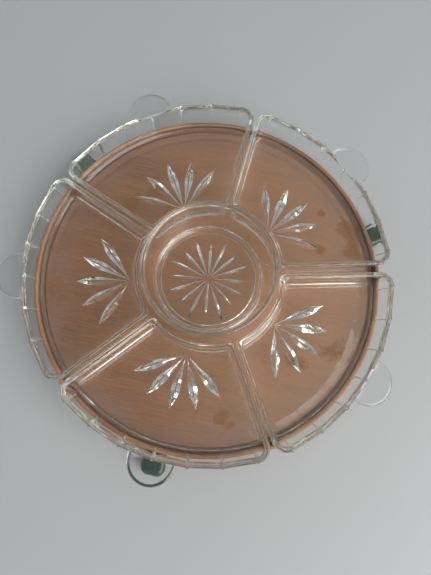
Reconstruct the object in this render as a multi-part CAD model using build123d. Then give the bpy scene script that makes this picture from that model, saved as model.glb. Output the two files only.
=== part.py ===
"""Lazy susan: a green three-armed base, a ball swivel, a hooped wooden turntable, five wedge
dishes with finger tabs and a deep centre bowl. Millimetres, +Z up, the origin on the spin axis
at table level."""
from build123d import *
import math
import os

# Dishes
dish_count = 5
dish_places = [  # mid angle, then how far off centre each one is set down: X, Y
    (38.0, -0.5, 0.5),
    (110.5, 2.5, 0.0),
    (181.5, 1.0, 0.0),
    (253.0, 2.0, 0.5),
    (325.5, 0.0, -1.0),
]
dish_rim_r = 163.0
dish_floor_r = 153.0
dish_inner_r = 62.5
dish_height = 31.5
dish_side_gap = 1.5
dish_draft = 2.2
dish_rim_width = 4.6
dish_wall = 3.6
dish_floor = 5.0
dish_facet_pitch = 10.15
dish_facets = 6
dish_outer_corner_r = 12.0
dish_floor_corner_r = 9.0
dish_inner_corner_r = 4.0
dish_foot = 1.0
dish_foot_width = 3.0
dish_foot_inset = 1.5
rib_height = 1.0
rib_width = 3.6
rib_drop = 18.0
tab_r = 20.0
tab_thickness = 4.0
tab_drop = 1.2

# Leaf-shaped cuts under the dishes and the bowl
petal_count = 5
petal_pitch = 27.8
petal_start_r = 73.0
petal_length = 49.5
petal_width = 8.5
petal_depth = 3.6
petal_widest = 0.6
ray_pairs = 8
ray_long = 40.0
ray_short = 31.0
ray_first_angle = 18.0
ray_start_r = 2.0
ray_width = 5.0
ray_depth = 2.2
ray_widest = 0.65
cut_overlap = 0.3

# Centre bowl
bowl_rim_r = 58.6
bowl_heel_r = 50.0
bowl_height = 48.0
bowl_wall = 4.0
bowl_base = 6.0
bowl_foot_r = 45.0
bowl_foot_width = 4.0
bowl_foot = 1.5
bowl_inner_corner_r = 8.0
bowl_rim_round = 1.6

# Turntable
tray_r = 160.5
hoop_width = 4.5
hoop_lip = 6.3
hoop_round = 1.9
board_thickness = 15.0
groove_width = 5.0
groove_depth = 2.0

# Ball swivel
plate_r = 50.0
plate_thickness = 2.0
ball_r = 2.5
ball_count = 16
ball_circle_r = 34.0
ball_clearance = 0.1
race_depth = 1.0
cage_width = 10.0
cage_thickness = 1.4
eyelet_r = 12.0
eyelet_wall = 1.5
eyelet_flange = 3.0
eyelet_flange_thickness = 1.2
eyelet_running_clearance = 0.08
eyelet_end_clearance = 0.2
eyelet_room = 1.0

# Screws
screw_r = 1.75
screw_head_r = 3.5
screw_length = 9.0
base_screw_circle_r = 23.0
base_screw_count = 3
tray_screw_circle_r = 43.0
tray_screw_count = 4
access_hole_r = 4.5

# Base
arm_count = 3
base_off_centre = (-4.0, 5.5)
arm_first_angle = 15.3
arm_reach = 186.8
arm_width = 20.0
arm_edge_r = 5.0
arm_corner_r = 6.5
arm_root_r = 14.0
hub_r = 70.0
base_thickness = 11.0
base_wall = 4.0
base_skin = 5.0
rib_thickness = 2.5
rib_turn = 13.5
boss_wall = 3.25
pad_height = 3.0
pad_r = 8.0
pad_recess_r = 4.0
pad_web = 1.2
foot_screw_r = 1.5
foot_screw_head_r = 3.0
foot_screw_head_height = 1.4
foot_screw_length = 6.0
pad_centre_inset = 12.0

# Heights that follow from the sizes above
base_bottom = pad_height
base_top = base_bottom + base_thickness
pocket_top = base_top - base_skin
race_r = ball_r + ball_clearance
ball_z = base_top + plate_thickness - race_depth + race_r
upper_plate_z = ball_z + race_r - race_depth
board_bottom = upper_plate_z + plate_thickness
board_top = board_bottom + board_thickness
dish_bottom = board_top + dish_foot
dish_top = board_top + dish_height
half_wedge = 180.0 / dish_count
access_angle = arm_first_angle + 180.0 / arm_count


def polar(radius, angle):
    """A point in plan at a radius and an angle in degrees."""
    return (radius * math.cos(math.radians(angle)), radius * math.sin(math.radians(angle)))


def at_angle(angle, radius, z=0.0):
    """A place at a radius and an angle, turned to face outwards."""
    return Rot(0, 0, angle) * Pos(radius, 0, z)


def disc(radius, height, z):
    """A solid disc that stands on height z."""
    return Pos(0, 0, z) * Cylinder(radius, height, align=(Align.CENTER, Align.CENTER, Align.MIN))


def ring(outer_r, inner_r, height, z):
    """A flat ring that stands on height z."""
    return disc(outer_r, height, z) - disc(inner_r, height, z)


def revolved(points):
    """A solid of revolution about Z from radius and height points."""
    return revolve(make_face(Polyline(*[(r, 0, z) for r, z in points], close=True)), Axis.Z)


def leaf_cutter(length, width, depth, widest):
    """A low four-sided pyramid that cuts one leaf upwards into a face at height 0."""
    kite = Polyline(
        (0, 0, -cut_overlap),
        (length * widest, -width / 2, -cut_overlap),
        (length, 0, -cut_overlap),
        (length * widest, width / 2, -cut_overlap),
        close=True,
    )
    return loft([make_face(kite), Vertex(length * widest, 0, depth)])


def facet_points(radius):
    """The corners of the faceted outer side, from the lower end of the arc to the upper one."""
    first = -dish_facets / 2
    return [polar(radius, (first + k) * dish_facet_pitch) for k in range(dish_facets + 1)]


def side_point_on_facet(radius, side_gap):
    """Where the last facet, carried on, meets the upper side wall."""
    last = dish_facets / 2 * dish_facet_pitch
    start = Vector(*polar(radius, last))
    along = Vector(*polar(radius, last + dish_facet_pitch)) - start
    inward = Vector(*polar(1, half_wedge - 90))
    reach = (side_gap - start.dot(inward)) / along.dot(inward)
    return start + along * reach


def side_point_on_arc(radius, side_gap):
    """Where the upper side wall meets the inner arc."""
    along = math.sqrt(radius**2 - side_gap**2)
    return Vector(*polar(side_gap, half_wedge - 90)) + Vector(*polar(along, half_wedge))


def wedge(outer_r, inner_r, side_gap, outer_corner_r, inner_corner_r):
    """The plan of a dish about its mid-line: facets outside, straight sides, a concave arc inside."""
    outer = side_point_on_facet(outer_r, side_gap)
    inner = side_point_on_arc(inner_r, side_gap)
    outline = Polyline(
        (inner.X, -inner.Y),
        (outer.X, -outer.Y),
        *facet_points(outer_r),
        (outer.X, outer.Y),
        (inner.X, inner.Y),
    )
    arc = ThreePointArc((inner.X, inner.Y), (inner_r, 0), (inner.X, -inner.Y))
    face = make_face(outline + arc)
    face = fillet([v for v in face.vertices() if v.X < inner.X + 1], inner_corner_r)
    corners = [v for v in face.vertices() if abs(abs(v.Y) - outer.Y) < 0.01]
    return fillet(corners, outer_corner_r)


def between(low, low_z, high, high_z):
    """A straight-sided solid between two plans at two heights."""
    return loft([Pos(0, 0, low_z) * low, Pos(0, 0, high_z) * high], ruled=True)


def dish_shell():
    """The outside of a dish, filled."""
    low = wedge(
        dish_floor_r,
        dish_inner_r + dish_draft,
        dish_side_gap + dish_draft,
        dish_floor_corner_r,
        dish_inner_corner_r,
    )
    high = wedge(
        dish_rim_r, dish_inner_r, dish_side_gap, dish_outer_corner_r, dish_inner_corner_r
    )
    return between(low, dish_bottom, high, dish_top)


def dish_cavity():
    """The hollow of a dish, carried on a little above its rim."""
    low = wedge(
        dish_floor_r - dish_wall,
        dish_inner_r + dish_draft + dish_wall,
        dish_side_gap + dish_draft + dish_wall,
        dish_floor_corner_r - dish_wall,
        dish_inner_corner_r,
    )
    high = wedge(
        dish_rim_r - dish_rim_width,
        dish_inner_r + dish_rim_width,
        dish_side_gap + dish_rim_width,
        dish_outer_corner_r - dish_rim_width,
        dish_inner_corner_r,
    )
    straight = between(low, dish_bottom + dish_floor, high, dish_top)
    return straight + extrude(Pos(0, 0, dish_top) * high, tab_thickness)


def dish_foot_ring():
    """The low ridge under a dish's edge that it stands on."""
    plans = []
    for inset in (dish_foot_inset, dish_foot_inset + dish_foot_width):
        plans.append(
            wedge(
                dish_floor_r - inset,
                dish_inner_r + dish_draft + inset,
                dish_side_gap + dish_draft + inset,
                dish_floor_corner_r - inset,
                dish_inner_corner_r,
            )
        )
    return extrude(Pos(0, 0, board_top) * (plans[0] - plans[1]), dish_foot + cut_overlap)


def facet_rib():
    """A thin rib on a facet corner, widest at the rim and fading out below it."""
    root_r = dish_rim_r - rib_width
    top = Polyline(
        (root_r, -rib_width / 2, dish_top),
        (dish_rim_r, -rib_width / 2, dish_top),
        (dish_rim_r + rib_height, 0, dish_top),
        (dish_rim_r, rib_width / 2, dish_top),
        (root_r, rib_width / 2, dish_top),
        close=True,
    )
    fall = (dish_rim_r - dish_floor_r) / (dish_height - dish_foot)
    end_r = dish_rim_r - fall * rib_drop - cut_overlap
    return loft([make_face(top), Vertex(end_r, 0, dish_top - rib_drop)])


def petals():
    """The fan of leaf cuts under a dish."""
    cuts = []
    for k in range(petal_count):
        angle = (k - (petal_count - 1) / 2) * petal_pitch
        leaf = leaf_cutter(petal_length, petal_width, petal_depth, petal_widest)
        cuts.append(Pos(petal_start_r, 0, dish_bottom) * Rot(0, 0, angle) * leaf)
    return cuts


def make_dish():
    """One wedge dish about its mid-line along +X."""
    tab = Pos(dish_rim_r, 0, 0) * disc(tab_r, tab_thickness, dish_top - tab_drop - tab_thickness)
    body = dish_shell() + tab
    first = -dish_facets / 2
    for k in range(dish_facets + 1):
        body += Rot(0, 0, (first + k) * dish_facet_pitch) * facet_rib()
    body -= dish_cavity()
    body += dish_foot_ring()
    for cut in petals():
        body -= cut
    return body


def make_bowl():
    """The deep centre bowl with its foot ring and star-cut base."""
    heel_z = board_top + bowl_foot
    rim_z = board_top + bowl_height
    floor_z = heel_z + bowl_base
    floor_r = bowl_heel_r - bowl_wall
    outside = revolved([(0, heel_z), (bowl_heel_r, heel_z), (bowl_rim_r, rim_z), (0, rim_z)])
    inside = revolved(
        [(0, floor_z), (floor_r, floor_z), (bowl_rim_r - bowl_wall, rim_z), (0, rim_z)]
    )
    inside = fillet(inside.edges().group_by(Axis.Z)[0], bowl_inner_corner_r)
    body = outside - inside
    body = fillet(body.edges().group_by(Axis.Z)[-1], bowl_rim_round)
    foot_in_r = bowl_foot_r - bowl_foot_width / 2
    body += ring(foot_in_r + bowl_foot_width, foot_in_r, bowl_foot + cut_overlap, board_top)
    for k in range(2 * ray_pairs):
        reach = ray_short if k % 2 else ray_long
        leaf = leaf_cutter(reach - ray_start_r, ray_width, ray_depth, ray_widest)
        body -= at_angle(ray_first_angle + k * 180.0 / ray_pairs, ray_start_r, heel_z) * leaf
    return body


def countersunk_screw(shank_r, head_r, length):
    """A flat-headed screw pointing down, its head's top at height 0."""
    head_height = head_r - shank_r
    return revolved(
        [(0, 0), (head_r, 0), (shank_r, -head_height), (shank_r, -length), (0, -length)]
    )


def base_screws():
    """The screws that hold the lower race plate down on the hub."""
    screw = countersunk_screw(screw_r, screw_head_r, screw_length)
    step = 360.0 / base_screw_count
    return [
        at_angle(arm_first_angle + k * step, base_screw_circle_r, base_top + plate_thickness) * screw
        for k in range(base_screw_count)
    ]


def tray_screws():
    """The screws that hold the upper race plate up against the board."""
    screw = Rot(180, 0, 0) * countersunk_screw(screw_r, screw_head_r, screw_length)
    step = 360.0 / tray_screw_count
    return [
        at_angle(access_angle + k * step, tray_screw_circle_r, upper_plate_z) * screw
        for k in range(tray_screw_count)
    ]


def race_groove():
    """The round channel that the balls run in."""
    return Pos(0, 0, ball_z) * Torus(ball_circle_r, race_r)


def access_hole(z, height):
    """The hole that a screwdriver reaches the tray screws through."""
    return at_angle(access_angle, tray_screw_circle_r) * disc(access_hole_r, height, z)


def make_lower_plate():
    """The swivel's fixed plate."""
    plate = ring(plate_r, eyelet_r, plate_thickness, base_top)
    plate = plate - race_groove() - access_hole(base_top, plate_thickness)
    for screw in base_screws():
        plate -= screw
    return plate


def make_upper_plate():
    """The swivel's turning plate."""
    bore_r = eyelet_r + eyelet_running_clearance
    plate = ring(plate_r, bore_r, plate_thickness, upper_plate_z) - race_groove()
    for screw in tray_screws():
        plate -= screw
    return plate


def make_eyelet():
    """The hollow rivet that the upper plate turns on, rolled over both plates."""
    low = base_top - eyelet_flange_thickness
    high = board_bottom + eyelet_end_clearance
    flange_r = eyelet_r + eyelet_flange
    top = high + eyelet_flange_thickness
    return revolved(
        [
            (eyelet_r - eyelet_wall, low),
            (flange_r, low),
            (flange_r, base_top),
            (eyelet_r, base_top),
            (eyelet_r, high),
            (flange_r, high),
            (flange_r, top),
            (eyelet_r - eyelet_wall, top),
        ]
    )


def ball_places():
    """Where the balls sit round the race."""
    return [at_angle(k * 360.0 / ball_count, ball_circle_r, ball_z) for k in range(ball_count)]


def make_cage():
    """The flat ring that spaces the balls."""
    low = ball_z - cage_thickness / 2
    half = cage_width / 2
    cage = ring(ball_circle_r + half, ball_circle_r - half, cage_thickness, low)
    for place in ball_places():
        cage -= place * Cylinder(ball_r + ball_clearance, 2 * cage_thickness)
    return cage


def make_board():
    """The turntable's disc, with a groove round its edge and room for the eyelet below."""
    board_r = tray_r - hoop_width
    board = disc(board_r, board_thickness, board_bottom)
    groove_z = board_top - groove_depth
    board -= ring(board_r + cut_overlap, board_r - groove_width, groove_depth + 1, groove_z)
    recess_depth = eyelet_end_clearance + eyelet_flange_thickness + eyelet_room
    board -= disc(eyelet_r + eyelet_flange + eyelet_room, recess_depth, board_bottom)
    for screw in tray_screws():
        board -= screw
    return board


def make_hoop():
    """The bent wooden hoop round the board, standing above it as a lip."""
    height = board_thickness + hoop_lip
    hoop = ring(tray_r, tray_r - hoop_width, height, board_bottom)
    return fillet(hoop.edges().group_by(Axis.Z)[-1], hoop_round)


def star(radius, reach, width, root_r, corner_r):
    """The plan of a round hub with square-ended arms, every corner rounded."""
    plan = Circle(radius)
    for k in range(arm_count):
        arm = Pos(reach / 2, 0) * RectangleRounded(reach, width, corner_r)
        plan += Rot(0, 0, arm_first_angle + k * 360.0 / arm_count) * arm
    corners = [v for v in plan.vertices() if abs(Vector(v.X, v.Y).length - radius) < 0.01]
    return fillet(corners, root_r)


def foot_places():
    """Where the feet sit under the arms' ends."""
    step = 360.0 / arm_count
    radius = arm_reach - pad_centre_inset
    hub = Pos(*base_off_centre)
    return [hub * at_angle(arm_first_angle + k * step, radius) for k in range(arm_count)]


def make_base():
    """The moulded base: hollow below, with screw bosses, ribs and an open centre. The swivel is
    screwed down a little off the hub's middle."""
    hub = Pos(*base_off_centre, base_bottom)
    plan = star(hub_r, arm_reach, arm_width, arm_root_r, arm_corner_r)
    base = extrude(hub * plan, base_thickness)
    base = fillet(base.edges().group_by(Axis.Z)[-1], arm_edge_r)
    centre_r = eyelet_r + eyelet_flange + eyelet_room
    pocket_plan = star(
        hub_r - base_wall,
        arm_reach - base_wall,
        arm_width - 2 * base_wall,
        arm_root_r + base_wall,
        arm_corner_r - base_wall,
    )
    pocket = extrude(hub * pocket_plan, pocket_top - base_bottom)
    pocket -= disc(centre_r + base_wall, base_thickness, base_bottom)
    for k in range(2 * arm_count):
        angle = arm_first_angle + k * 180.0 / arm_count
        if k % 2:
            rib = Box(hub_r, rib_thickness, base_thickness, align=(Align.MIN, Align.CENTER, Align.MIN))
            pocket -= hub * Rot(0, 0, angle + rib_turn) * rib
        else:
            rib = Box(rib_thickness, arm_width, base_thickness, align=(Align.CENTER, Align.CENTER, Align.MIN))
            pocket -= hub * at_angle(angle, (hub_r + arm_reach) / 2) * rib
            boss = disc(screw_r + boss_wall, base_thickness, base_bottom)
            pocket -= at_angle(angle, base_screw_circle_r) * boss
    for place in foot_places():
        pocket -= place * disc(foot_screw_r + boss_wall + 1, base_thickness, base_bottom)
    base -= pocket
    base -= disc(centre_r, base_thickness, base_bottom)
    base -= access_hole(base_bottom, base_thickness)
    for screw in base_screws() + foot_screws():
        base -= screw
    return base


def foot_screws():
    """The pan-headed screws that hold the pads up against the arms."""
    under = pad_height - pad_web
    screws = []
    for place in foot_places():
        head = disc(foot_screw_head_r, foot_screw_head_height, under - foot_screw_head_height)
        screws.append(place * (head + disc(foot_screw_r, foot_screw_length, under)))
    return screws


def make_pad():
    """A rubber foot with a recess for its screw's head."""
    pad = disc(pad_r, pad_height, 0)
    pad = chamfer(pad.edges().group_by(Axis.Z)[0], 0.6)
    pad -= disc(pad_recess_r, pad_height - pad_web, 0)
    return pad - disc(foot_screw_r, pad_height, 0)


def save(node, shape):
    """Writes one node's STEP file."""
    export_step(shape, f"parts/{node}.step")


def main():
    os.makedirs("parts", exist_ok=True)
    save("base_spider", make_base())
    pad = make_pad()
    for number, place in enumerate(foot_places(), 1):
        save(f"foot_pad_{number}", place * pad)
    save("foot_screws", Compound(foot_screws()))
    save("lower_race_plate", make_lower_plate())
    save("lower_plate_screws", Compound(base_screws()))
    save("swivel_eyelet", make_eyelet())
    save("ball_cage", make_cage())
    save("bearing_balls", Compound([place * Sphere(ball_r) for place in ball_places()]))
    save("upper_race_plate", make_upper_plate())
    save("upper_plate_screws", Compound(tray_screws()))
    save("tray_board", make_board())
    save("tray_hoop", make_hoop())
    dish = make_dish()
    for number, (angle, x, y) in enumerate(dish_places, 1):
        save(f"dish_{number}", Pos(x, y, 0) * Rot(0, 0, angle) * dish)
    save("centre_bowl", make_bowl())


main()
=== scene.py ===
"""The looks of a lazy susan: five pressed-glass wedge dishes and a centre bowl on a worn wooden
turntable, over a green plastic base. Metres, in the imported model's frame; outlines are worked out
in millimetres and scaled when their mesh is made."""
import math

import bpy
from mathutils import Matrix, Vector


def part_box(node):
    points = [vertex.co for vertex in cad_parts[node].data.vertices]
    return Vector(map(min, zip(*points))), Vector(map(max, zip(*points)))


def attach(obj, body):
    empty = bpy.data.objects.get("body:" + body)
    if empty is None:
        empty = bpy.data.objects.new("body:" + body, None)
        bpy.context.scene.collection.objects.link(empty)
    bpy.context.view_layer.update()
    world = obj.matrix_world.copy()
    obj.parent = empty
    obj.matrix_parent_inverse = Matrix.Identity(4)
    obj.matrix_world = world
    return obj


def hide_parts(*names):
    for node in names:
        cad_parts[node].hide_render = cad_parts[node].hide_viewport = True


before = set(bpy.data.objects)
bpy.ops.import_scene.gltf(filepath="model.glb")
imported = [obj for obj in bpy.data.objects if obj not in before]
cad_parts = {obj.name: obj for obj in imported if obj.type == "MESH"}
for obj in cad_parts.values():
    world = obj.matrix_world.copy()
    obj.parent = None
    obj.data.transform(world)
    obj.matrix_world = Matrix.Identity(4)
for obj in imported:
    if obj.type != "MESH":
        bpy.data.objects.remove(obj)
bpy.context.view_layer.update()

MM = 0.001
sharp_edge = 35.0


def node_box(node):
    """A node's lowest and highest corners in millimetres."""
    low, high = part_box(node)
    return low / MM, high / MM


# Heights and radii that the frame gives
board_top = node_box("tray_board")[1].z
board_bottom = node_box("tray_board")[0].z
board_r = node_box("tray_board")[1].x
hoop_r = node_box("tray_hoop")[1].x
hoop_top = node_box("tray_hoop")[1].z
dish_top = node_box("dish_1")[1].z
bowl_top = node_box("centre_bowl")[1].z
bowl_rim_r = node_box("centre_bowl")[1].x + 0.3  # where the wall's line would meet the rim's height
hoop_width = 4.5

# Dishes
dish_places = [  # mid angle, then how far off centre each one is set down: X, Y
    (38.0, -0.5, 0.5),
    (110.5, 2.5, 0.0),
    (181.5, 1.0, 0.0),
    (253.0, 2.0, 0.5),
    (325.5, 0.0, -1.0),
]
half_wedge = 36.0
facet_pitch = 10.15
facet_nodes = 3
dish_foot = 1.0
dish_floor = 5.0
contact_gap = 0.08
dish_bottom = board_top + dish_foot
dish_inside = dish_bottom + dish_floor
rim_width = 4.6
heel_r = 3.0
floor_corner_r = 5.0
floor_flat = 1.5
outer_spread = 2.2
floor_faceting = 0.1
corner_faceting = 0.2
wall_faceting = 0.3
rib_half_width = 1.3
rib_sharpness = 1.2
rib_zone = 3.0
rib_height = 1.0
rib_drop = 27.0
wall_rib_share = 0.7
rim_rib_share = 0.85
knob_depth = 0.45
knob_drop = 5.0
knob_lift = 0.25
tab_r = 20.0
tab_thickness = 4.0
tab_drop = 1.2
tab_edge_reach = 3.6
tab_root_x = 160.6

# The same plan at the floor and at the rim: outer radius, side gap, inner radius, outer corner, inner corner
outside_low = (153.0, 3.7, 64.7, 9.0, 4.0)
outside_high = (163.0, 1.5, 62.5, 12.0, 4.0)
inside_low = (149.4, 7.3, 68.3, 5.4, 4.0)
inside_high = (158.4, 6.1, 67.1, 7.4, 4.0)

# Leaf cuts
petal_count = 5
petal_pitch = 27.8
petal_start_r = 73.0
petal_length = 49.5
petal_width = 7.8
petal_slope = 1.08
petal_depth = 3.6
petal_taper = 1.15
ray_count = 16
ray_long = 41.5
ray_short = 32.5
ray_start_r = 2.0
ray_width = 2.5
ray_slope = 1.05
ray_depth = 1.3
ray_taper = 0.55
ray_first_angle = 18.0
cut_below = 0.4
leaf_start = 0.02
leaf_end = 0.995
leaf_fullness = 1.55
ridge_share = 0.86
ridge_rise = 0.15

# Bowl
bowl_lift_off = 1.5
bowl_heel_r = 50.0
bowl_heel_round = 2.5
bowl_heel_swell = 0.35
bowl_rim_round = 2.0
bowl_wall = 4.0
bowl_wall_extra = 0.1
bowl_floor = 6.0
bowl_floor_corner_r = 8.0
bowl_floor_flat = 1.5
bowl_foot_in = 45.4
bowl_foot_out = 47.0
bowl_foot_slope = 1.3
axis_hole_r = 1.0


def lofted(name, rings):
    """A closed mesh through rings that all have the same number of points, flat at both ends."""
    count = len(rings[0])
    points = [Vector(p) * MM for ring in rings for p in ring]
    faces = [tuple(reversed(range(count))), tuple(range(len(points) - count, len(points)))]
    for k in range(len(rings) - 1):
        for j in range(count):
            a = k * count + j
            b = k * count + (j + 1) % count
            faces.append((a, b, b + count, a + count))
    mesh = bpy.data.meshes.new(name)
    mesh.from_pydata(points, [], faces)
    return mesh


def turned(name, profile, steps):
    """A closed mesh of revolution about Z from an open profile that starts and ends off the axis."""
    rings = []
    for radius, z in profile:
        rings.append([polar(radius, 360.0 * k / steps, z) for k in range(steps)])
    return lofted(name, rings)


def hollow_turned(name, profile, steps):
    """A mesh of revolution about Z from a closed profile that stays off the axis."""
    count = len(profile)
    points = []
    for k in range(steps):
        points += [Vector(polar(radius, 360.0 * k / steps, z)) * MM for radius, z in profile]
    faces = []
    for k in range(steps):
        here = k * count
        there = (k + 1) % steps * count
        for j in range(count):
            next_j = (j + 1) % count
            faces.append((here + j, there + j, there + next_j, here + next_j))
    mesh = bpy.data.meshes.new(name)
    mesh.from_pydata(points, [], faces)
    return mesh


def polar(radius, angle, z=0.0):
    """A point at a radius, an angle in degrees and a height."""
    return (radius * math.cos(math.radians(angle)), radius * math.sin(math.radians(angle)), z)


def arc(centre_r, centre_z, radius, start, end, steps):
    """Profile points on an arc; angles in degrees from outwards, upwards positive."""
    points = []
    for k in range(steps + 1):
        angle = math.radians(start + (end - start) * k / steps)
        points.append((centre_r + radius * math.cos(angle), centre_z + radius * math.sin(angle)))
    return points


def shown(mesh):
    """An object for a mesh, shaded smooth except across its sharp edges."""
    mesh.validate()
    for face in mesh.polygons:
        face.use_smooth = True
    mesh.set_sharp_from_angle(angle=math.radians(sharp_edge))
    thing = bpy.data.objects.new(mesh.name, mesh)
    bpy.context.scene.collection.objects.link(thing)
    return thing


def combined(base, tool, operation):
    """The mesh of one object joined with or cut by another, which is then removed."""
    step = base.modifiers.new(operation, "BOOLEAN")
    step.operation = operation
    step.object = tool
    step.solver = "EXACT"
    bpy.context.view_layer.update()
    result = bpy.data.meshes.new_from_object(base.evaluated_get(bpy.context.evaluated_depsgraph_get()))
    result.name = base.data.name
    base.modifiers.remove(step)
    base.data = result
    bpy.data.objects.remove(tool)
    return base


# ---------------------------------------------------------------- Dishes


def blended(low, high, share, inset=0.0, spread=1.0):
    """A plan part of the way from the low one to the high one, moved inwards by an inset, which the
    spread multiplies on the outer side."""
    outer_r, gap, inner_r, outer_c, inner_c = (a + (b - a) * share for a, b in zip(low, high))
    return (outer_r - inset * spread, gap + inset, inner_r + inset, max(outer_c - inset, 1.0), inner_c)


def node_angles():
    """Angles of the outer side's points from the mid-line to the corner, closest round the ribs."""
    near = [0.0, 0.016, 0.032, 0.05, 0.09]
    across = near + [0.25, 0.4, 0.5, 0.6, 0.75] + [1 - share for share in reversed(near[1:])]
    angles = [(k + share) * facet_pitch for k in range(facet_nodes) for share in across]
    return angles + [facet_nodes * facet_pitch]


def rib_at(angle, radius):
    """How much of the rib's height there is at an angle: 1 on a facet corner, 0 clear of it."""
    nearest = round(angle / facet_pitch) * facet_pitch
    off = math.radians(angle - nearest) * radius / rib_half_width
    return max(0.0, 1.0 - abs(off)) ** rib_sharpness


def facet_cut(angle):
    """How far a facet lies inside the arc at an angle, as a share of the radius."""
    from_middle = (angle % facet_pitch) - facet_pitch / 2
    return 1.0 - math.cos(math.radians(facet_pitch / 2)) / math.cos(math.radians(from_middle))


def faceting_at(share):
    """How strongly the outer wall is faceted part of the way up it: fully at the rim."""
    return wall_faceting + (1.0 - wall_faceting) * share


def half_plan(plan, faceting, rib):
    """The outline of a plan from its mid-line outside, round the upper side, to its mid-line inside."""
    outer_r, gap, inner_r, outer_c, inner_c = plan
    corner_angle = half_wedge - math.degrees(math.asin((gap + outer_c) / (outer_r - outer_c)))
    last_node = facet_nodes * facet_pitch
    squeeze = (corner_angle - 0.2) / last_node
    points = []
    for angle in node_angles():
        radius = outer_r * (1.0 - faceting * facet_cut(angle)) + rib * rib_at(angle, outer_r)
        points.append(polar(radius, angle * squeeze))
    side = math.radians(half_wedge)
    along = Vector((math.cos(side), math.sin(side)))
    across = Vector((-math.sin(side), math.cos(side)))
    reach = math.sqrt((outer_r - outer_c) ** 2 - (gap + outer_c) ** 2)
    centre = along * reach - across * (gap + outer_c)
    end = half_wedge + 90.0
    steps = 16
    for k in range(steps + 1):
        turn = math.radians(corner_angle + (end - corner_angle) * k / steps)
        outwards = Vector((math.cos(turn), math.sin(turn)))
        edge = centre + outwards * outer_c
        edge_angle = math.degrees(math.atan2(edge.y, edge.x))
        rise = rib * rib_at(min(edge_angle / squeeze, last_node + 2.0), outer_r)
        spot = centre + outwards * (outer_c + rise)
        points.append((spot.x, spot.y, 0.0))
    inner_reach = math.sqrt((inner_r + inner_c) ** 2 - (gap + inner_c) ** 2)
    inner_centre = along * inner_reach - across * (gap + inner_c)
    start_side = centre + across * outer_c
    end_side = inner_centre + across * inner_c
    side_steps = 14
    for k in range(1, side_steps):
        spot = start_side.lerp(end_side, k / side_steps)
        points.append((spot.x, spot.y, 0.0))
    inner_angle = math.degrees(math.atan2(inner_centre.y, inner_centre.x))
    corner_steps = 8
    for k in range(corner_steps + 1):
        turn = math.radians(end + (inner_angle + 180.0 - end) * k / corner_steps)
        spot = inner_centre + inner_c * Vector((math.cos(turn), math.sin(turn)))
        points.append((spot.x, spot.y, 0.0))
    inner_steps = 18
    for k in range(1, inner_steps + 1):
        points.append(polar(inner_r, inner_angle * (1.0 - k / inner_steps)))
    return points


def dish_ring(plan, z, faceting, rib=0.0, lift=0.0):
    """A whole outline at a height; lift raises it at the ribs."""
    half = half_plan(plan, faceting, rib)
    lifted = []
    for x, y, _ in half:
        angle = math.degrees(math.atan2(y, x))
        radius = math.hypot(x, y)
        near_outside = radius > plan[0] - rib_zone
        lifted.append((x, y, z + (lift * rib_at(angle, radius) if near_outside else 0.0)))
    mirrored = [(x, -y, high) for x, y, high in reversed(lifted[1:-1])]
    return lifted + mirrored


def dish_rings():
    """The outlines of a dish from its underside, up its outside, over its rim and down to its floor.
    The foot's points are an inset from the wall and a rise from the board."""
    rings = []
    foot = [(10.5, dish_foot), (8.8, 0.93), (7.0, 0.65), (5.4, 0.32), (4.4, 0.14), (3.8, contact_gap)]
    for inset, rise in foot:
        plan = blended(outside_low, outside_high, 0.0, inset, outer_spread)
        rings.append(dish_ring(plan, board_top + rise, floor_faceting))
    for inset, z in arc(heel_r, board_top + contact_gap + heel_r, heel_r, 270, 180, 7):
        share = max(0.0, (z - dish_bottom) / (dish_top - dish_bottom))
        plan = blended(outside_low, outside_high, share, inset, outer_spread)
        rings.append(dish_ring(plan, z, corner_faceting))
    rim_r = rim_width / 2
    rim_z = dish_top - rim_r
    wall_steps = 9
    for k in range(1, wall_steps):
        z = board_top + heel_r + (rim_z - board_top - heel_r) * k / wall_steps
        share = (z - dish_bottom) / (dish_top - dish_bottom)
        rib = rib_height * max(0.0, 1.0 - ((dish_top - z) / rib_drop) ** 2) * wall_rib_share
        plan = blended(outside_low, outside_high, share)
        rings.append(dish_ring(plan, z, faceting_at(share), rib))
    for inset, z in arc(rim_r, rim_z, rim_r, 180, 90, 6):
        share = (z - dish_bottom) / (dish_top - dish_bottom)
        plan = blended(outside_low, outside_high, share, inset)
        rings.append(dish_ring(plan, z, 1.0, rim_rib_share * rib_height, knob_lift))
    for inset, z in arc(rim_r, rim_z, rim_r, 90, 0, 6)[1:]:
        share = (z - dish_inside) / (dish_top - dish_inside)
        plan = blended(inside_low, inside_high, share, inset - rim_width)
        rings.append(dish_ring(plan, z, 1.0, -knob_depth, knob_lift))
    inner_steps = 7
    for k in range(1, inner_steps):
        z = rim_z + (dish_inside + floor_corner_r - rim_z) * k / inner_steps
        share = (z - dish_inside) / (dish_top - dish_inside)
        knob = -knob_depth * max(0.0, 1.0 - (rim_z - z) / knob_drop)
        rings.append(dish_ring(blended(inside_low, inside_high, share), z, faceting_at(share), knob))
    for inset, z in arc(floor_corner_r, dish_inside + floor_corner_r, floor_corner_r, 180, 270, 8):
        share = (z - dish_inside) / (dish_top - dish_inside)
        plan = blended(inside_low, inside_high, share, inset, outer_spread)
        rings.append(dish_ring(plan, z, corner_faceting))
    middle = blended(inside_low, inside_high, 0.0, floor_corner_r + floor_flat, outer_spread)
    rings.append(dish_ring(middle, dish_inside, floor_faceting))
    return rings


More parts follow.
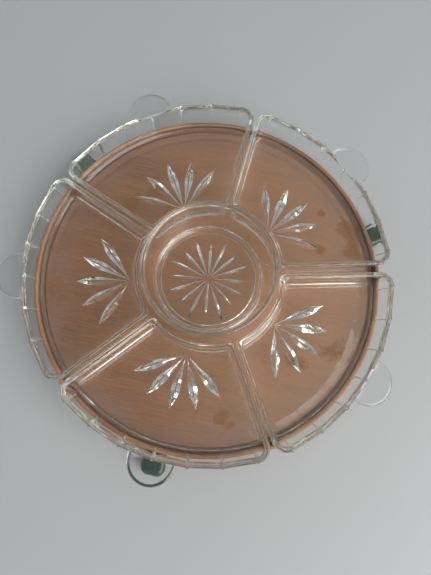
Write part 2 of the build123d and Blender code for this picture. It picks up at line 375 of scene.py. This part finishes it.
def leaf_points(length, width, slope, depth, taper):
    """The cross-sections of one leaf-shaped groove along +X: straight flanks and a blunt ridge. A
    smaller taper keeps the leaf near its full width for longer."""
    sections = []
    steps = 26
    for k in range(steps + 1):
        share = leaf_start + (leaf_end - leaf_start) * k / steps
        half = width / 2 * math.sin(math.pi * share**leaf_fullness) ** taper
        x = length * share
        blunt = min(depth, slope * half * ridge_share)
        shoulder = half - blunt / slope
        below = half + cut_below / slope
        sections.append(
            [
                (x, -below, -cut_below),
                (x, -shoulder, blunt),
                (x, 0.0, blunt + ridge_rise * shoulder),
                (x, shoulder, blunt),
                (x, below, -cut_below),
            ]
        )
    return sections


def leaf_cutters(name, leaves, z):
    """One mesh of several leaf grooves: each has the X it fans out from, how far from there it
    starts, its angle and its sections."""
    points = []
    faces = []
    for centre_x, start, angle, sections in leaves:
        turn = Matrix.Rotation(math.radians(angle), 3, "Z")
        first = len(points)
        for section in sections:
            for x, y, rise in section:
                spot = turn @ Vector((x + start, y, 0.0))
                points.append(Vector((spot.x + centre_x, spot.y, z + rise)) * MM)
        sides = len(sections[0])
        for k in range(len(sections) - 1):
            for j in range(sides):
                a = first + k * sides + j
                b = first + k * sides + (j + 1) % sides
                faces.append((a, a + sides, b + sides, b))
        faces.append(tuple(first + j for j in range(sides)))
        faces.append(tuple(len(points) - 1 - j for j in range(sides)))
    mesh = bpy.data.meshes.new(name)
    mesh.from_pydata(points, [], faces)
    mesh.validate()
    thing = bpy.data.objects.new(name, mesh)
    bpy.context.scene.collection.objects.link(thing)
    return thing


def petal_cutters():
    """The fan of leaf grooves under a dish."""
    sections = leaf_points(petal_length, petal_width, petal_slope, petal_depth, petal_taper)
    leaves = []
    for k in range(petal_count):
        angle = (k - (petal_count - 1) / 2) * petal_pitch
        leaves.append((petal_start_r, 0.0, angle, sections))
    return leaf_cutters("petal_cuts", leaves, dish_bottom)


def tab_mesh():
    """The half-round finger tab, thinned to its rounded edge and carried on into the dish's wall."""
    centre_x = outside_high[0]
    half_thick = tab_thickness / 2
    middle_z = dish_top - tab_drop - half_thick
    limit = 180.0 - math.degrees(math.acos((centre_x - tab_root_x) / tab_r))
    steps = 64
    edge_steps = 12
    rings = []
    for k in range(edge_steps + 1):
        turn = math.radians(-90 + 180 * k / edge_steps)
        inset = tab_edge_reach * (1.0 - math.cos(turn))
        z = middle_z + half_thick * math.sin(turn)
        ring = []
        for j in range(steps + 1):
            x, y, _ = polar(tab_r - inset, -limit + 2 * limit * j / steps)
            ring.append((max(centre_x + x, tab_root_x), y, z))
        rings.append(ring)
    return lofted("tab", rings)


def make_dish(glass):
    """The glass of one dish about its mid-line along +X."""
    body = bpy.data.objects.new("dish_glass", lofted("dish_glass", dish_rings()))
    bpy.context.scene.collection.objects.link(body)
    tab = bpy.data.objects.new("tab", tab_mesh())
    bpy.context.scene.collection.objects.link(tab)
    combined(body, tab, "UNION")
    combined(body, petal_cutters(), "DIFFERENCE")
    mesh = body.data
    bpy.data.objects.remove(body)
    mesh.materials.clear()
    mesh.materials.append(glass)
    return mesh


def place_dishes(glass):
    """The five dishes, each on its own body."""
    pattern = make_dish(glass)
    for k, (angle, off_x, off_y) in enumerate(dish_places, start=1):
        mesh = pattern.copy()
        mesh.name = f"glass_dish_{k}"
        turn = Matrix.Rotation(math.radians(angle), 4, "Z")
        mesh.transform(Matrix.Translation(Vector((off_x, off_y, 0.0)) * MM) @ turn)
        dish = shown(mesh)
        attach(dish, f"wedge_dish_{k}")
        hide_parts(f"dish_{k}")


# ---------------------------------------------------------------- Bowl


def bowl_outside_r(z):
    """The outer wall's radius at a height: it leans outwards from the heel to the rim."""
    heel_z = board_top + bowl_lift_off
    return bowl_heel_r + (z - heel_z) * (bowl_rim_r - bowl_heel_r) / (bowl_top - heel_z)


def bowl_profile():
    """From the middle of the underside, round the foot and the heel, over the rim, to the inside."""
    heel_z = board_top + bowl_lift_off
    foot_z = board_top + contact_gap
    rim_z = bowl_top - bowl_rim_round
    floor_z = heel_z + bowl_floor
    profile = [(axis_hole_r, heel_z), (bowl_foot_in - bowl_foot_slope, heel_z)]
    profile += [(bowl_foot_in, foot_z), (bowl_foot_out, foot_z), (bowl_foot_out + bowl_foot_slope, heel_z)]
    heel_centre_r = bowl_heel_r - bowl_heel_round + bowl_heel_swell
    profile += arc(heel_centre_r, heel_z + bowl_heel_round, bowl_heel_round, 275, 352, 7)
    wall_low = heel_z + bowl_heel_round
    outer_steps = 6
    for k in range(1, outer_steps):
        z = wall_low + (rim_z - wall_low) * k / outer_steps
        profile.append((bowl_outside_r(z), z))
    profile += arc(bowl_outside_r(rim_z) - bowl_rim_round, rim_z, bowl_rim_round, 5, 180, 12)
    corner_z = floor_z + bowl_floor_corner_r
    inner_steps = 5
    for k in range(1, inner_steps):
        z = rim_z + (corner_z - rim_z) * k / inner_steps
        profile.append((bowl_outside_r(z) - bowl_wall - bowl_wall_extra, z))
    corner_r = bowl_outside_r(corner_z) - bowl_wall - bowl_floor_corner_r
    profile += arc(corner_r, corner_z, bowl_floor_corner_r, -6, -90, 10)
    profile += [(corner_r - bowl_floor_flat, floor_z), (axis_hole_r, floor_z)]
    return profile


def make_bowl(glass):
    """The centre bowl, its star of rays cut under its base."""
    body = bpy.data.objects.new("glass_bowl", turned("glass_bowl", bowl_profile(), 220))
    bpy.context.scene.collection.objects.link(body)
    leaves = []
    for k in range(ray_count):
        reach = ray_short if k % 2 else ray_long
        sections = leaf_points(reach - ray_start_r, ray_width, ray_slope, ray_depth, ray_taper)
        leaves.append((0.0, ray_start_r, ray_first_angle + k * 360.0 / ray_count, sections))
    combined(body, leaf_cutters("ray_cuts", leaves, board_top + bowl_lift_off), "DIFFERENCE")
    mesh = body.data
    bpy.data.objects.remove(body)
    mesh.materials.clear()
    mesh.materials.append(glass)
    bowl = shown(mesh)
    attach(bowl, "bowl")
    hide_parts("centre_bowl")


# ---------------------------------------------------------------- Turntable


def make_board(wood):
    """The turntable's disc with its edges eased and the groove round its top."""
    groove = 5.0
    groove_z = board_top - 2.0
    inner = board_r - groove
    edge_r = 0.9
    chamfer = 1.0
    profile = [(axis_hole_r, board_bottom), (board_r - chamfer, board_bottom)]
    profile += [(board_r, board_bottom + chamfer), (board_r, groove_z), (inner + 0.8, groove_z + 0.1)]
    profile += arc(inner - edge_r, board_top - edge_r, edge_r, 0, 90, 4)
    profile += [(inner - 3.0, board_top), (axis_hole_r, board_top)]
    board = shown(turned("board_disc", profile, 240))
    board.data.materials.append(wood)
    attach(board, "turntable")
    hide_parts("tray_board")


def make_hoop(wood):
    """The bent wooden hoop, its lip rounded over."""
    inner_r = hoop_r - hoop_width
    middle = (hoop_r + inner_r) / 2
    half = (hoop_r - inner_r) / 2
    profile = [(inner_r + 0.4, board_bottom), (hoop_r - 0.5, board_bottom), (hoop_r, board_bottom + 0.5)]
    profile += arc(middle, hoop_top - half, half, 0, 180, 12)
    profile += [(inner_r, board_bottom + 0.4)]
    hoop = shown(hollow_turned("bent_hoop", profile, 240))
    hoop.data.materials.append(wood)
    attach(hoop, "turntable")
    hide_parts("tray_hoop")


# ---------------------------------------------------------------- Materials


class Look:
    """One node material and short calls that add to it."""

    def __init__(self, name, colour, roughness):
        self.material = bpy.data.materials.new(name)
        self.material.use_nodes = True
        self.tree = self.material.node_tree
        self.shader = self.tree.nodes["Principled BSDF"]
        self.output = self.tree.nodes["Material Output"]
        self.set("Base Color", colour)
        self.set("Roughness", roughness)
        self.place = self.add("ShaderNodeTexCoord").outputs["Object"]

    def add(self, kind, **settings):
        node = self.tree.nodes.new(kind)
        for key, value in settings.items():
            setattr(node, key, value)
        return node

    def wire(self, source, target):
        self.tree.links.new(source, target)

    def set(self, socket, value):
        self.shader.inputs[socket].default_value = (*value, 1.0) if isinstance(value, tuple) else value

    def feed(self, source, socket):
        self.wire(source, self.shader.inputs[socket])

    def scaled_place(self, scale, turn=0.0):
        turned_place = self.add("ShaderNodeMapping")  # turned first, so that the stretch follows the turn
        self.wire(self.place, turned_place.inputs["Vector"])
        turned_place.inputs["Rotation"].default_value = (0.0, 0.0, math.radians(turn))
        mapping = self.add("ShaderNodeMapping")
        self.wire(turned_place.outputs["Vector"], mapping.inputs["Vector"])
        mapping.inputs["Scale"].default_value = scale
        return mapping.outputs["Vector"]

    def noise(self, scale, detail=3.0, roughness=0.5, stretch=None, turn=0.0):
        node = self.add("ShaderNodeTexNoise")
        place = self.scaled_place(stretch, turn) if stretch else self.place
        self.wire(place, node.inputs["Vector"])
        node.inputs["Scale"].default_value = scale
        node.inputs["Detail"].default_value = detail
        node.inputs["Roughness"].default_value = roughness
        return node.outputs["Fac"]

    def band(self, source, low, high, to_low=0.0, to_high=1.0):
        node = self.add("ShaderNodeMapRange", clamp=True)
        self.wire(source, node.inputs["Value"])
        limits = {"From Min": low, "From Max": high, "To Min": to_low, "To Max": to_high}
        for socket, value in limits.items():
            node.inputs[socket].default_value = value
        return node.outputs["Result"]

    def maths(self, operation, first, second):
        node = self.add("ShaderNodeMath", operation=operation)
        for socket, value in zip(node.inputs, (first, second)):
            if isinstance(value, float):
                socket.default_value = value
            else:
                self.wire(value, socket)
        return node.outputs["Value"]

    def mix(self, share, first, second):
        node = self.add("ShaderNodeMix", data_type="RGBA")
        for socket, value in zip((node.inputs[0], node.inputs[6], node.inputs[7]), (share, first, second)):
            if isinstance(value, tuple):
                socket.default_value = (*value, 1.0)
            elif isinstance(value, float):
                socket.default_value = value
            else:
                self.wire(value, socket)
        return node.outputs[2]

    def bump(self, height, distance, strength=1.0, before=None):
        node = self.add("ShaderNodeBump")
        node.inputs["Distance"].default_value = distance
        node.inputs["Strength"].default_value = strength
        self.wire(height, node.inputs["Height"])
        if before:
            self.wire(before, node.inputs["Normal"])
        return node.outputs["Normal"]


def glass_look():
    """Pressed glass with a faint green in its depth; lamps light what stands under it."""
    look = Look("glass_look", (0.985, 0.995, 0.992), 0.0)
    look.set("Transmission Weight", 1.0)
    look.set("IOR", 1.5)
    look.feed(look.bump(look.noise(45.0, 2.0), 0.00004), "Normal")
    look.feed(look.band(look.noise(300.0, 4.0), 0.62, 0.75, 0.0, 0.12), "Roughness")
    depth = look.add("ShaderNodeVolumeAbsorption")
    depth.inputs["Color"].default_value = (0.75, 0.79, 0.745, 1.0)
    depth.inputs["Density"].default_value = 13.0
    look.wire(depth.outputs["Volume"], look.output.inputs["Volume"])
    path = look.add("ShaderNodeLightPath")
    clear = look.add("ShaderNodeBsdfTransparent")
    clear.inputs["Color"].default_value = (0.95, 0.97, 0.965, 1.0)
    mixed = look.add("ShaderNodeMixShader")
    look.wire(path.outputs["Is Shadow Ray"], mixed.inputs[0])
    look.wire(look.shader.outputs["BSDF"], mixed.inputs[1])
    look.wire(clear.outputs["BSDF"], mixed.inputs[2])
    look.wire(mixed.outputs["Shader"], look.output.inputs["Surface"])
    return look.material


# Spills that stained the board: X, Y, radius in millimetres
stains = [
    (-72.0, 73.0, 9.0),
    (-50.0, 84.0, 10.0),
    (-38.0, 66.0, 8.0),
    (133.0, 47.0, 14.0),
    (137.0, 26.0, 9.0),
    (106.0, 28.0, 8.0),
    (109.0, 66.0, 4.0),
    (116.0, -66.0, 12.0),
    (79.0, -75.0, 10.0),
    (14.0, -122.0, 9.0),
    (20.0, -131.0, 7.0),
    (-93.0, 4.0, 7.0),
]
grain_turn = 12.0


def board_look():
    """Old varnished wood: fine grain, broad bands, greyed wear near the edge, spill stains, and painted
    light paling it towards +X, the window's side.
    """
    look = Look("board_wood_look", (0.3, 0.17, 0.1), 0.5)
    broad = look.noise(7.0, 3.0)
    bands = look.noise(1.0, 4.0, 0.6, (9.0, 70.0, 9.0), grain_turn)
    grain = look.noise(1.0, 6.0, 0.65, (30.0, 700.0, 30.0), grain_turn)
    pores = look.noise(1.0, 2.0, 0.5, (160.0, 2400.0, 160.0), grain_turn)
    colour = look.mix(look.band(broad, 0.35, 0.65), (0.24, 0.093, 0.037), (0.305, 0.129, 0.057))
    colour = look.mix(look.band(bands, 0.4, 0.62, 0.0, 0.55), colour, (0.165, 0.064, 0.027))
    colour = look.mix(look.band(grain, 0.42, 0.7, 0.0, 0.5), colour, (0.38, 0.19, 0.098))
    pore_mask = look.band(pores, 0.58, 0.7, 0.0, 0.7)
    colour = look.mix(pore_mask, colour, (0.09, 0.038, 0.019))
    # Painted light: the wood is paled towards +X, on the window's side, as if lit more there.
    across = look.add("ShaderNodeSeparateXYZ")
    look.wire(look.place, across.inputs[0])
    painted_window_light = look.band(across.outputs["X"], -0.08, 0.12, 0.0, 0.42)
    colour = look.mix(painted_window_light, colour, (0.5, 0.275, 0.165))
    away = look.add("ShaderNodeVectorMath", operation="LENGTH")
    flat = look.scaled_place((1.0, 1.0, 0.0))
    look.wire(flat, away.inputs[0])
    patchy = look.band(look.noise(28.0, 4.0), 0.35, 0.65, 0.15, 1.0)
    edge = look.maths("MULTIPLY", look.band(away.outputs["Value"], 0.118, 0.146, 0.0, 0.62), patchy)
    colour = look.mix(edge, colour, (0.24, 0.15, 0.125))
    blotch = look.band(look.noise(75.0, 4.0, 0.6), 0.3, 0.7)
    for x, y, radius in stains:
        reach = look.add("ShaderNodeVectorMath", operation="DISTANCE")
        look.wire(flat, reach.inputs[0])
        reach.inputs[1].default_value = (x * MM, y * MM, 0.0)
        near = look.band(reach.outputs["Value"], 0.2 * radius * MM, 1.8 * radius * MM, 1.0, 0.0)
        spill = look.band(look.maths("ADD", near, blotch), 1.0, 1.35, 0.0, 0.8)
        colour = look.mix(spill, colour, (0.235, 0.088, 0.016))
    look.feed(colour, "Base Color")
    look.feed(look.band(look.noise(45.0, 5.0), 0.3, 0.7, 0.38, 0.62), "Roughness")
    fine = look.bump(grain, 0.00012)
    look.feed(look.bump(pore_mask, -0.0001, 1.0, fine), "Normal")
    look.set("Coat Weight", 0.15)
    look.set("Coat Roughness", 0.25)
    return look.material


def hoop_look():
    """Pale bent wood, its grain running round the ring, darker in patches where hands and dirt reach it,
    with painted shade darkening its inner edge.
    """
    look = Look("hoop_wood_look", (0.5, 0.29, 0.15), 0.5)
    streak = look.noise(1.0, 4.0, 0.6, (40.0, 40.0, 900.0))
    patch = look.noise(22.0, 4.0)
    colour = look.mix(look.band(streak, 0.35, 0.65), (0.29, 0.135, 0.064), (0.41, 0.205, 0.105))
    colour = look.mix(look.band(patch, 0.45, 0.7, 0.0, 0.6), colour, (0.17, 0.075, 0.036))
    # Painted shade: a dark band along the hoop's inner edge, where it meets the board's groove.
    away = look.add("ShaderNodeVectorMath", operation="LENGTH")
    look.wire(look.scaled_place((1.0, 1.0, 0.0)), away.inputs[0])
    inner_r = (hoop_r - hoop_width) * MM
    inside = look.band(away.outputs["Value"], inner_r + 0.0002, inner_r + 0.0011, 0.85, 0.0)
    colour = look.mix(inside, colour, (0.055, 0.024, 0.013))
    look.feed(colour, "Base Color")
    look.feed(look.band(patch, 0.3, 0.7, 0.42, 0.6), "Roughness")
    look.feed(look.bump(streak, 0.00015), "Normal")
    return look.material


def plastic_look(name, dark, light, roughness, dimple):
    """Moulded plastic or rubber with a little mottling and a fine skin texture."""
    look = Look(name, dark, roughness)
    look.feed(look.mix(look.band(look.noise(35.0, 4.0), 0.35, 0.7), dark, light), "Base Color")
    look.feed(look.band(look.noise(180.0, 3.0), 0.3, 0.7, roughness * 0.8, roughness * 1.3), "Roughness")
    look.feed(look.bump(look.noise(1600.0, 2.0), dimple), "Normal")
    return look.material


def metal_look(name, colour, worn, roughness, stretch):
    """Metal with rolled or turned lines and duller patches."""
    look = Look(name, colour, roughness)
    look.set("Metallic", 1.0)
    lines = look.noise(1.0, 3.0, 0.6, stretch)
    patches = look.noise(90.0, 5.0)
    look.feed(look.mix(look.band(patches, 0.45, 0.68), colour, worn), "Base Color")
    look.feed(look.band(patches, 0.35, 0.7, roughness, roughness + 0.22), "Roughness")
    look.feed(look.bump(lines, 0.00004), "Normal")
    return look.material


def dress(material, *nodes):
    """Gives CAD nodes a material in place of the one they came with."""
    for node in nodes:
        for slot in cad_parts[node].material_slots:
            slot.material = material


# ---------------------------------------------------------------- Surroundings


def make_camera():
    """A hand-held view from above, leaning a little from the near side."""
    lens = bpy.data.cameras.new("camera")
    lens.lens = 28.17
    lens.sensor_width = 36.0
    lens.clip_start = 0.01
    lens.clip_end = 50.0
    camera = bpy.data.objects.new("camera", lens)
    camera.location = Vector((-6.7, -92.3, board_top + 410.3)) * MM
    camera.rotation_euler = (math.radians(11.67), math.radians(-1.87), 0.0)
    bpy.context.scene.collection.objects.link(camera)
    bpy.context.scene.camera = camera


def make_floor():
    """A plain pale floor."""
    half = 3.0
    mesh = bpy.data.meshes.new("floor")
    corners = [(-half, -half, 0), (half, -half, 0), (half, half, 0), (-half, half, 0)]
    mesh.from_pydata(corners, [], [(0, 1, 2, 3)])
    floor = bpy.data.objects.new("floor", mesh)
    bpy.context.scene.collection.objects.link(floor)
    look = Look("floor_look", (0.56, 0.575, 0.58), 0.5)
    look.feed(look.mix(look.noise(5.0, 3.0), (0.55, 0.565, 0.57), (0.58, 0.593, 0.597)), "Base Color")
    mesh.materials.append(look.material)


def area_light(name, place, aim, size, power, colour):
    """A soft rectangular light."""
    lamp = bpy.data.lights.new(name, "AREA")
    lamp.shape = "RECTANGLE"
    lamp.size, lamp.size_y = size
    lamp.energy = power
    lamp.color = colour
    thing = bpy.data.objects.new(name, lamp)
    thing.location = place
    thing.rotation_euler = (Vector(aim) - Vector(place)).to_track_quat("-Z", "Y").to_euler()
    bpy.context.scene.collection.objects.link(thing)


def make_light():
    """A big soft window to the near right in a grey room that is brighter round its walls."""
    world = bpy.data.worlds.new("room")
    bpy.context.scene.world = world
    world.use_nodes = True
    tree = world.node_tree
    background = tree.nodes["Background"]
    place = tree.nodes.new("ShaderNodeTexCoord")
    height = tree.nodes.new("ShaderNodeSeparateXYZ")
    ramp = tree.nodes.new("ShaderNodeValToRGB")
    tree.links.new(place.outputs["Generated"], height.inputs[0])
    tree.links.new(height.outputs["Z"], ramp.inputs["Fac"])
    ramp.color_ramp.elements[0].color = (0.74, 0.77, 0.79, 1.0)
    ramp.color_ramp.elements[1].color = (0.26, 0.27, 0.275, 1.0)
    tree.links.new(ramp.outputs["Color"], background.inputs["Color"])
    background.inputs["Strength"].default_value = 0.86
    area_light("window", (1.4, -1.1, 1.1), (0.0, 0.0, 0.05), (2.0, 1.6), 41.0, (1.0, 0.99, 0.97))
    bpy.context.scene.view_settings.view_transform = "Standard"
    paths = bpy.context.scene.cycles
    paths.max_bounces = 32
    paths.glossy_bounces = 32
    paths.transmission_bounces = 32
    paths.transparent_max_bounces = 32


make_camera()
make_floor()
make_light()

glass = glass_look()
place_dishes(glass)
make_bowl(glass)
make_board(board_look())
make_hoop(hoop_look())

green_plastic = plastic_look("green_plastic_look", (0.018, 0.055, 0.038), (0.026, 0.07, 0.05), 0.28, 0.00002)
dress(green_plastic, "base_spider")
rubber = plastic_look("rubber_look", (0.02, 0.02, 0.02), (0.03, 0.03, 0.028), 0.7, 0.00005)
dress(rubber, "foot_pad_1", "foot_pad_2", "foot_pad_3")
cage_plastic = plastic_look("cage_look", (0.6, 0.58, 0.5), (0.68, 0.66, 0.58), 0.4, 0.00002)
dress(cage_plastic, "ball_cage")
rolled_lines = (20.0, 900.0, 20.0)
plate_steel = metal_look("plate_steel_look", (0.62, 0.61, 0.58), (0.45, 0.43, 0.39), 0.3, rolled_lines)
dress(plate_steel, "lower_race_plate", "upper_race_plate", "swivel_eyelet")
turned_lines = (300.0, 300.0, 1200.0)
screw_steel = metal_look("screw_steel_look", (0.66, 0.63, 0.55), (0.5, 0.46, 0.38), 0.32, turned_lines)
dress(screw_steel, "foot_screws", "lower_plate_screws", "upper_plate_screws")
no_lines = (200.0, 200.0, 200.0)
ball_steel = metal_look("ball_steel_look", (0.75, 0.75, 0.75), (0.6, 0.6, 0.6), 0.12, no_lines)
dress(ball_steel, "bearing_balls")
